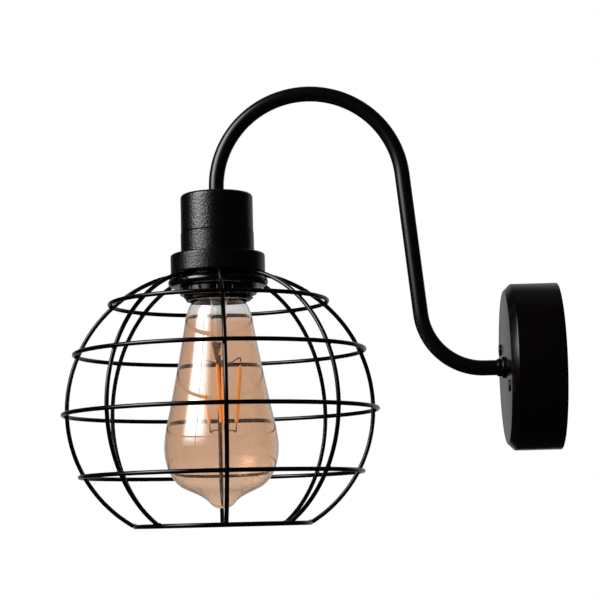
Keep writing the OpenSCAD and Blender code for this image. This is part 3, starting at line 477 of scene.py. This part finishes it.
# %% Tint the glass
neck_clear_z = 33 * mm
neck_fade = 3 * mm
amber = (0.80, 0.615, 0.485)
lit_amber = (0.87, 0.70, 0.57)  # painted light: the amber is paler towards the tip
lit_from_z, lit_to_z = -38 * mm, -66 * mm
clear = (0.86, 0.86, 0.86)

amber_glass, shader, nodes, link = finish(
    "amber_glass", amber, 0.0, transmission_weight=1.0, ior=1.5,
    coat_weight=1.0, coat_ior=1.9, coat_roughness=0.0)
place = nodes.new("ShaderNodeSeparateXYZ")
link(nodes.new("ShaderNodeTexCoord").outputs["Object"], place.inputs[0])
fade = eased(nodes, link, place.outputs["Z"], neck_clear_z - neck_fade, neck_clear_z + neck_fade)
tone = two_tones(nodes, link, fade, amber, clear, shader.inputs["Base Color"])
# Painted light: the amber fades to a paler tone towards the tip
lighter = eased(nodes, link, place.outputs["Z"], lit_from_z, lit_to_z)
two_tones(nodes, link, lighter, amber, lit_amber, tone.inputs["A"])
# The lustre is on the outside only: a wall seen from within the glass has none
inward = nodes.new("ShaderNodeNewGeometry").outputs["Backfacing"]
link(reckon(nodes, link, "SUBTRACT", 1, inward), shader.inputs["Coat Weight"])
print("amber up to", neck_clear_z, "and thinner below", lit_from_z)

# %% Let the lamps shine in
def let_light_in(nodes, link, tint):
    """Lets lamps shine through a glass: rays towards a lamp are tinted instead of stopped."""
    output = next(node for node in nodes if node.type == "OUTPUT_MATERIAL")
    solid = output.inputs["Surface"].links[0].from_socket
    thin = nodes.new("ShaderNodeBsdfTransparent")
    thin.inputs["Color"].default_value = (*tint, 1)
    pick = mixed(nodes, link, seen_mask(nodes, link, "Is Shadow Ray"), solid, thin.outputs[0])
    link(pick, output.inputs["Surface"])


# A wall has two faces, and each takes the square root of the whole tint
let_light_in(nodes, link, tuple(0.95 * c ** 0.5 for c in amber))

# The wall's inner face is the same glass without the lustre
amber_inside = amber_glass.copy()
amber_inside.name = "amber_inside"
inner = amber_inside.node_tree
bare = next(node for node in inner.nodes if node.type == "BSDF_PRINCIPLED").inputs["Coat Weight"]
inner.links.remove(bare.links[0])
bare.default_value = 0

clear_glass, shader, nodes, link = finish(
    "clear_glass", (0.97, 0.98, 0.98), 0.0, transmission_weight=1.0, ior=1.46)
let_light_in(nodes, link, (0.95, 0.95, 0.95))
print("glass:", amber_glass.name, clear_glass.name)

# %% [markdown]
# The light strips carry a coating of phosphor in silicone, a lumpy orange that
# looks brighter than any paint. The finish also gets a painted glow, so the strips
# shine a little of their own though the bulb is not lit.

# %% Coat the light strips
# Painted glow: a little orange emission, though the strips are not lit
phosphor, shader, nodes, link = finish(
    "phosphor", (1.0, 0.5, 0.15), 0.45, emission_strength=0.18)
shader.inputs["Emission Color"].default_value = (1.0, 0.42, 0.07, 1)
where = nodes.new("ShaderNodeTexCoord").outputs["Object"]
lumps = noise(nodes, link, where, 1400, 2)
two_tones(nodes, link, lumps, (0.95, 0.34, 0.06), (1.0, 0.55, 0.16),
          shader.inputs["Base Color"])
print("strips:", phosphor.name)

# %% [markdown]
# The bulb's cap is bright nickel outside. Inside it, brown cement holds the glass,
# and that is what shows through the clear neck. One finish does both: the distance
# from the lamp's axis tells the inside from the outside.

# %% Nickel outside, cement inside
cap_plate, shader, nodes, link = finish("cap_plate", nickel, 0.25)
cement = (0.05, 0.018, 0.006)
cement_r = 11.9 * mm
from_axis = nodes.new("ShaderNodeVectorMath")
from_axis.operation = "SUBTRACT"
from_axis.inputs[1].default_value = (0, lamp_y, 0)
link(nodes.new("ShaderNodeTexCoord").outputs["Object"], from_axis.inputs[0])
level = nodes.new("ShaderNodeVectorMath")
level.operation = "MULTIPLY"
level.inputs[1].default_value = (1, 1, 0)
link(from_axis.outputs[0], level.inputs[0])
radius = nodes.new("ShaderNodeVectorMath")
radius.operation = "LENGTH"
link(level.outputs[0], radius.inputs[0])
outside = reckon(nodes, link, "GREATER_THAN", radius.outputs["Value"], cement_r)
two_tones(nodes, link, outside, cement, nickel, shader.inputs["Base Color"])
link(outside, shader.inputs["Metallic"])
link(spread(nodes, link, outside, 0.85, 0.25), shader.inputs["Roughness"])
print("cap:", cap_plate.name, "cement inside", cement_r)

# %% [markdown]
# ## Paint the solids
# Most solids already have the real piece's shape, so they only get their finish.
# A CAD solid has one empty material slot or none, and its mesh is left alone.

# %% Give each solid its finish
paint_list = {
    black_canopy: ["canopy"],
    black_tube: ["arm_tube", "arm_collar", "canopy_screws"],
    black_wire: [f"cage_rib_{i}" for i in range(1, 9)] + [f"cage_hoop_{i}" for i in range(1, 6)],
    black_holder: ["holder_cap"],
    black_collar: ["holder_skirt", "cage_cap"],
    black_ring: ["shade_ring", "cage_collar"],
    zinc_plate: ["wall_bracket", "block_screw", "arm_lock_washer", "arm_back_nut", "holder_nut",
                 "contact_spring", "holder_terminal_screws"],
    brass_part: ["bracket_earth_screw", "terminal_screws", "earth_tag", "screw_shell",
                 "shell_rivet", "contact_strap", "contact_plunger", "holder_terminals"],
    cap_plate: ["bulb_cap_shell"],
    nickel_plate: ["bulb_tip_contact", "bulb_support_wires"],
    white_nylon: ["terminal_block"],
    glazed_ceramic: ["holder_insert"],
    brown_sleeve: ["live_lead"],
    blue_sleeve: ["neutral_lead"],
    green_sleeve: ["earth_lead"],
    dark_glaze: ["bulb_cap_insulator"],
    green_board: ["bulb_driver_board"],
    clear_glass: ["bulb_stem"],
    phosphor: ["bulb_filaments"],
}
for material, names in paint_list.items():
    for name in names:
        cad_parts[name].data.materials.clear()
        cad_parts[name].data.materials.append(material)
print("painted:", sum(len(names) for names in paint_list.values()))

# %% [markdown]
# ## The bulb's glass
# The real envelope is blown: a thin wall, a straight neck, a waist, a round belly
# and a drawn tip, with no edges at all. The solid has flat steps down its outline
# that a mirror-like surface would show, so a smooth one replaces it. A lathe is the
# natural tool: a few key points joined by smooth curves, spun round the axis, and
# then given their wall.

# %% Draw the outline
tip_z = -74.7  # millimetres, as the key points are
bulb_keys = [  # radius, height above the tip, heading in degrees, from the neck down
    (11.6, 125.5, -90), (11.6, 120.0, -90), (15.4, 115.6, -57), (19.25, 104.3, -81),
    (28.4, 56.2, -78.5), (32.0, 33.7, -90), (21.4, 11.5, -153), (6.6, 2.7, -128), (0, 0, -180)]


def smooth_outline(keys, steps):
    """Points of a smooth curve through key points with headings."""
    points = []
    for (r1, h1, a1), (r2, h2, a2) in zip(keys, keys[1:]):
        start, end = Vector((r1, h1)), Vector((r2, h2))
        reach = (end - start).length / 3
        out_of = start + reach * Vector((math.cos(math.radians(a1)), math.sin(math.radians(a1))))
        into = end - reach * Vector((math.cos(math.radians(a2)), math.sin(math.radians(a2))))
        curve = interpolate_bezier(start, out_of, into, end, steps)
        points += curve[:-1]
    return points + [Vector(keys[-1][:2])]


bulb_outline = smooth_outline(bulb_keys, 15)
print("outline:", len(bulb_outline), "points")

# %% Spin an outline round the lamp's axis
def turned(outline, steps, closed=False):
    """A surface of revolution round the lamp's axis from (radius, height) points in millimetres."""
    shape = bmesh.new()
    corners = [shape.verts.new((r * mm, 0, h * mm)) for r, h in outline]
    pairs = list(zip(corners, corners[1:])) + ([(corners[-1], corners[0])] if closed else [])
    edges = [shape.edges.new(pair) for pair in pairs]
    bmesh.ops.spin(shape, geom=corners + edges, cent=(0, 0, 0), axis=(0, 0, 1), angle=2 * math.pi,
                   steps=steps, use_merge=True)
    bmesh.ops.remove_doubles(shape, verts=shape.verts, dist=0.002 * mm)
    bmesh.ops.delete(shape, geom=[edge for edge in shape.edges if edge.is_wire], context="EDGES")
    bmesh.ops.translate(shape, verts=shape.verts, vec=(0, lamp_y, 0))
    bmesh.ops.recalc_face_normals(shape, faces=shape.faces)
    return shape


# %% Finish a piece and say what carries it
def piece(name, shape, material, body, slot, *stands_for, sharp=35):
    """Makes a finished piece of a bmesh, smooth apart from its sharp edges."""
    for face in shape.faces:
        face.smooth = True
    for edge in shape.edges:
        edge.smooth = not (edge.is_manifold and edge.calc_face_angle(0) > math.radians(sharp))
    mesh = bpy.data.meshes.new(name)
    shape.to_mesh(mesh)
    shape.free()
    mesh.materials.append(material)
    obj = bpy.data.objects.new(name, mesh)
    scene.collection.objects.link(obj)
    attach(obj, body)
    if stands_for:
        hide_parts(*stands_for)
    print(name, len(mesh.polygons), "faces")
    return obj


# %% Blow the glass and give it its wall
shape = turned([(r, h + tip_z) for r, h in bulb_outline], 128)
glass = piece("bulb_envelope", shape, amber_glass, "bulb", "amber_glass", "bulb_glass")
glass.data.materials.append(amber_inside)
wall = glass.modifiers.new("wall", "SOLIDIFY")
wall.thickness = 0.7 * mm
wall.offset = -1
wall.use_even_offset = True
wall.material_offset = 1

# %% [markdown]
# ## The glass inside the bulb
# A flared glass tube closes the neck from inside. Its foot is squeezed flat round
# the wires, and a thinner tube inside it once drew the air out. It is turned like
# the envelope, but as one closed outline, because its wall is not even: outside
# down to the squeezed foot, then up the thin tube's bore and down round it.

# %% Turn the inner tubes
flare_keys = [  # radius, height, heading, all in millimetres and degrees
    (10.9, 49.3, -128), (6.2, 44.6, -122), (4.6, 37.5, -90), (4.6, 22.5, -90),
    (2.4, 15.6, -100), (1.7, 11.0, -95)]
hollow_keys = [
    (10.0, 49.6, -128), (5.4, 44.9, -122), (3.8, 37.5, -90), (3.8, 22.8, -92), (1.5, 17.2, -100)]
thin_tube = [(1.5, 50.6), (0.8, 50.6), (0.8, 16.2), (0, 15.6)]
outline = [tuple(p) for p in smooth_outline(flare_keys, 9)] + [(0, 10.3)]
inside = thin_tube[::-1] + [tuple(p) for p in smooth_outline(hollow_keys, 9)][::-1]
shape = turned(outline + inside, 64, closed=True)
piece("flared_tube", shape, clear_glass, "bulb", "clear_glass", "bulb_stem", sharp=50)

# %% [markdown]
# ## Wires
# The fine wires in the bulb are drawn and bent by hand, so each one is a round
# section carried along a few smooth points. A curve object with a bevel would do
# the same; here the sections are bridged in the mesh, so the piece is finished.

# %% Carry a round section along a path
def smooth_path(points, steps=6):
    """Points of a smooth curve through the given ones."""
    path = []
    for i in range(len(points) - 1):
        before, start = points[max(i - 1, 0)], points[i]
        end, after = points[i + 1], points[min(i + 2, len(points) - 1)]
        out_of, into = start + (end - before) / 6, end - (after - start) / 6
        path += interpolate_bezier(start, out_of, into, end, steps)[:-1]
    return path + [points[-1]]


def wire_along(shape, path, radii, sides=10):
    """Adds a round wire along a path to a bmesh, with a radius for each point."""
    rings = []
    side = (path[1] - path[0]).orthogonal().normalized()
    for i, (point, radius) in enumerate(zip(path, radii)):
        ahead = (path[min(i + 1, len(path) - 1)] - path[max(i - 1, 0)]).normalized()
        side = (side - ahead * side.dot(ahead)).normalized()
        turn = Matrix((side, ahead.cross(side), ahead)).transposed().to_4x4()
        ring = bmesh.ops.create_circle(shape, segments=sides, radius=radius,
                                       matrix=Matrix.Translation(point) @ turn)["verts"]
        rings.append(list({edge for corner in ring for edge in corner.link_edges}))
    for ring, following in zip(rings, rings[1:]):
        bmesh.ops.bridge_loops(shape, edges=ring + following)
    bmesh.ops.edgeloop_fill(shape, edges=rings[0])
    bmesh.ops.edgeloop_fill(shape, edges=rings[-1])


# %% [markdown]
# ## The light strips
# Each strip is a thin rod of tiny lamps, dipped in phosphor, so it swells and thins
# along its length and tapers at both ends. A texture would only change its colour.
# Here each ring of the section gets a radius of its own, from a seeded generator,
# so that each run gives the same strips.

# %% Place points by their bearing
# Distance from the axis and height, in millimetres
strip_top, strip_foot = (11.7, 7.8), (7.4, -29.96)
strip_angles = [math.radians(86 + 90 * i) for i in range(4)]
strip_lean = 1.1  # how far the feet lean to the wall, in millimetres


def by_axis(angle, radius, height):
    """A point by its bearing and distance from the lamp's axis, from millimetres.

    The lower a point is, the more it leans to the wall.
    """
    lean = strip_lean * max(0, strip_top[1] - height) / (strip_top[1] - strip_foot[1])
    flat = Vector((radius * math.cos(angle), radius * math.sin(angle) + lean, height))
    return flat * mm + Vector((0, lamp_y, 0))


print("strips reach from", strip_top, "to", strip_foot)

# %% Dip the light strips
lumpy = random.Random(5)
tab = 2.6  # bare metal at each end, in millimetres
shape = bmesh.new()
for angle in strip_angles:
    top, foot = by_axis(angle, *strip_top), by_axis(angle, *strip_foot)
    along = (foot - top).normalized()
    start, end = top + along * tab * mm, foot - along * tab * mm
    steps = 44
    path = [start.lerp(end, i / steps) for i in range(steps + 1)]
    wave = lumpy.uniform(0, 6)
    radii = [(1.08 + 0.10 * math.sin(0.55 * i + wave) + lumpy.uniform(-0.07, 0.07)) * mm
             for i in range(steps + 1)]
    for i, share in enumerate((0.45, 0.75, 0.92)):
        radii[i] *= share
        radii[-1 - i] *= share
    wire_along(shape, path, radii, 12)
bmesh.ops.recalc_face_normals(shape, faces=shape.faces)
piece("light_strips", shape, phosphor, "bulb", "phosphor", "bulb_filaments", sharp=80)

# %% [markdown]
# ## The wires that hold the strips
# Leads twist down out of the squeezed glass in pairs, spokes carry the strips' tops,
# and hooks join their feet two by two. Each is a few given points, bent smooth.
# The flat tabs at the strips' ends are small cubes with softened edges.

# %% Bend the leads, spokes and hooks
shape = bmesh.new()
fine = 0.38 * mm


def bent_wire(points, radius=fine):
    path = smooth_path(points)
    wire_along(shape, path, [radius] * len(path), 8)


# The twisted leads in the squeezed glass and below it
press = Vector((0, -1.8 * mm, 0))
for turn in (0, math.pi / 2, math.pi, -math.pi / 2):
    for way in (1, -1):
        bent_wire([by_axis(turn + way * 0.8 * i, 0.5 + 0.16 * i, 8.6 + 0.75 * i) + press
                   for i in range(14)], 0.27 * mm)
# The spokes that carry each strip's top
for i, angle in enumerate(strip_angles):
    hub_z = 5.6 + 0.5 * i
    spoke = [(angle, 0.2, hub_z), (angle, 3.0, hub_z + 0.4), (angle + 0.05, 7.0, hub_z + 1.6),
             (angle, 10.6, 9.2), (angle, 11.8, 8.8), (angle, 11.7, 7.4)]
    bent_wire([by_axis(*point) for point in spoke])
# The hooks that join the feet of two strips
for a, b in (strip_angles[:2], strip_angles[2:]):
    hook = [(a, 7.4, -29.4), (a, 7.3, -31.4), (a + 0.12, 6.6, -32.2), (a + 0.3, 6.2, -31.4),
            ((a + b) / 2, 5.0, -31.0), (b - 0.3, 6.2, -31.4), (b - 0.12, 6.6, -32.2),
            (b, 7.3, -31.4), (b, 7.4, -29.4)]
    bent_wire([by_axis(*point) for point in hook])
print("wires so far:", len(shape.faces), "faces")

# %% Add the tabs at both ends of each strip and the crimped beads above them
tab_size = Matrix.Diagonal((1.1 * mm, 0.28 * mm, (tab + 0.8) * mm, 1))
for angle in strip_angles:
    top, foot = by_axis(angle, *strip_top), by_axis(angle, *strip_foot)
    along = (foot - top).normalized()
    across = Vector((-math.sin(angle), math.cos(angle), 0))
    for end, way in ((top, along), (foot, -along)):
        place = Matrix.Translation(end + way * (tab / 2 + 0.2) * mm)
        turn = Matrix((across, way.cross(across), way)).transposed().to_4x4()
        made = bmesh.ops.create_cube(shape, size=1, matrix=place @ turn @ tab_size)["verts"]
        edges = list({edge for corner in made for edge in corner.link_edges})
        bmesh.ops.bevel(shape, geom=edges, offset=0.06 * mm, segments=2, profile=0.5,
                        affect="EDGES", material=-1)
    bmesh.ops.create_icosphere(shape, subdivisions=2, radius=0.55 * mm,
                               matrix=Matrix.Translation(by_axis(angle, 11.75, 8.4)))
bmesh.ops.recalc_face_normals(shape, faces=shape.faces)
piece("fine_wires", shape, drawn_wire, "bulb", "bulb_cap_metal", "bulb_support_wires", sharp=50)

# %% [markdown]
# ## Welds
# Where a hoop touches a rib, a spot weld leaves a small bead under the paint. The
# hoops' own solids say where they are, and a bead is a ball pressed flat towards
# the crossing.

# %% Place a bead at each crossing
wire_r = 1.2 * mm
cage_r = 85.9 * mm  # a rib is two arcs, which meet at this distance from the lamp's axis
upper_arc_r, lower_arc_r = 78.3 * mm, 74.3 * mm
arcs_meet = 1.5 * mm  # their meeting point is this much above the middle hoop
rib_drifts = (0.5, 0.5, 0, -2.5, -1, 1.5, 0, -1)  # degrees off an even spacing
rib_angles = [math.radians(5 + 45 * i + drift) for i, drift in enumerate(rib_drifts)]
bead_sink = 1.0 * mm
bead_size = Matrix.Diagonal((1.45 * mm, 1.45 * mm, 0.8 * mm, 1))

hoops = []
for number in range(1, 6):
    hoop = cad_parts[f"cage_hoop_{number}"]
    corners = [hoop.matrix_world @ Vector(corner) for corner in hoop.bound_box]
    low, high = (Vector(f(c[k] for c in corners) for k in range(3)) for f in (min, max))
    hoops.append(((high.y - low.y) / 2 - wire_r, (low.z + high.z) / 2))
widest = hoops[2][1] + arcs_meet

shape = bmesh.new()
for radius, height in hoops:
    arc_r = upper_arc_r if height > widest else lower_arc_r
    out = Vector((radius - (cage_r - arc_r), height - widest)).normalized()
    for angle in rib_angles:
        way = Vector((out.x * math.cos(angle), out.x * math.sin(angle), out.y))
        round_hoop = Vector((-math.sin(angle), math.cos(angle), 0))
        crossing = Vector((radius * math.cos(angle), lamp_y + radius * math.sin(angle), height))
        place = Matrix.Translation(crossing - way * bead_sink)
        turn = Matrix((round_hoop, way.cross(round_hoop), way)).transposed().to_4x4()
        bmesh.ops.create_icosphere(shape, subdivisions=2, radius=1,
                                   matrix=place @ turn @ bead_size)
piece("weld_beads", shape, black_wire, "cage", "black_metal", sharp=180)
print("hoops:", [(round(radius, 4), round(height, 4)) for radius, height in hoops])

# %% [markdown]
# ## The canopy
# The canopy is pressed from sheet steel. Its solid has knife-sharp corners; pressing
# and paint leave soft ones, and the thin line of light along the bevel is what
# tells them apart. It is turned as a closed outline and its four outer corners are
# rounded with a bevel, which is quicker than drawing each arc.

# %% Turn the canopy
canopy_r, depth, slope, sheet, bore_r = 46.65, 30.0, 3.9, 1.0, 4.5  # millimetres
step = sheet * math.tan(math.radians(22.5))
outline = [(bore_r, depth), (canopy_r - slope, depth), (canopy_r, depth - slope), (canopy_r, 0),
           (canopy_r - sheet, 0), (canopy_r - sheet, depth - slope - step),
           (canopy_r - slope - step, depth - sheet), (bore_r, depth - sheet)]
shape = turned(outline, 160, closed=True)
bmesh.ops.translate(shape, verts=shape.verts, vec=(0, -lamp_y, 0))
print("canopy:", 2 * canopy_r, "mm across,", depth, "mm deep")

# %% Soften its four outer corners
outer_corners = outline[1:5]


def near(a, b, within):
    """Whether two lengths agree within so many millimetres."""
    return abs(a - b) < within * mm


def on_corner(vert):
    """Whether a vertex is on one of the canopy's outer corners."""
    return any(near(vert.co.xy.length, r * mm, 0.01) and near(vert.co.z, h * mm, 0.01)
               for r, h in outer_corners)


def round_the_rim(edge):
    """Whether an edge runs round the canopy and not along its outline."""
    a, b = (vert.co for vert in edge.verts)
    return near(a.z, b.z, 0.001) and near(a.xy.length, b.xy.length, 0.001)


soft = [edge for edge in shape.edges
        if all(on_corner(vert) for vert in edge.verts) and round_the_rim(edge)]
bmesh.ops.bevel(shape, geom=soft, offset=0.4 * mm, segments=3, profile=0.5,
                affect="EDGES", material=-1)
upright = Matrix.Rotation(math.pi / 2, 3, "X")
bmesh.ops.rotate(shape, verts=shape.verts, cent=(0, 0, 0), matrix=upright)
bmesh.ops.recalc_face_normals(shape, faces=shape.faces)
piece("canopy_shell", shape, black_canopy, "fixture", "black_metal", "canopy", sharp=30)
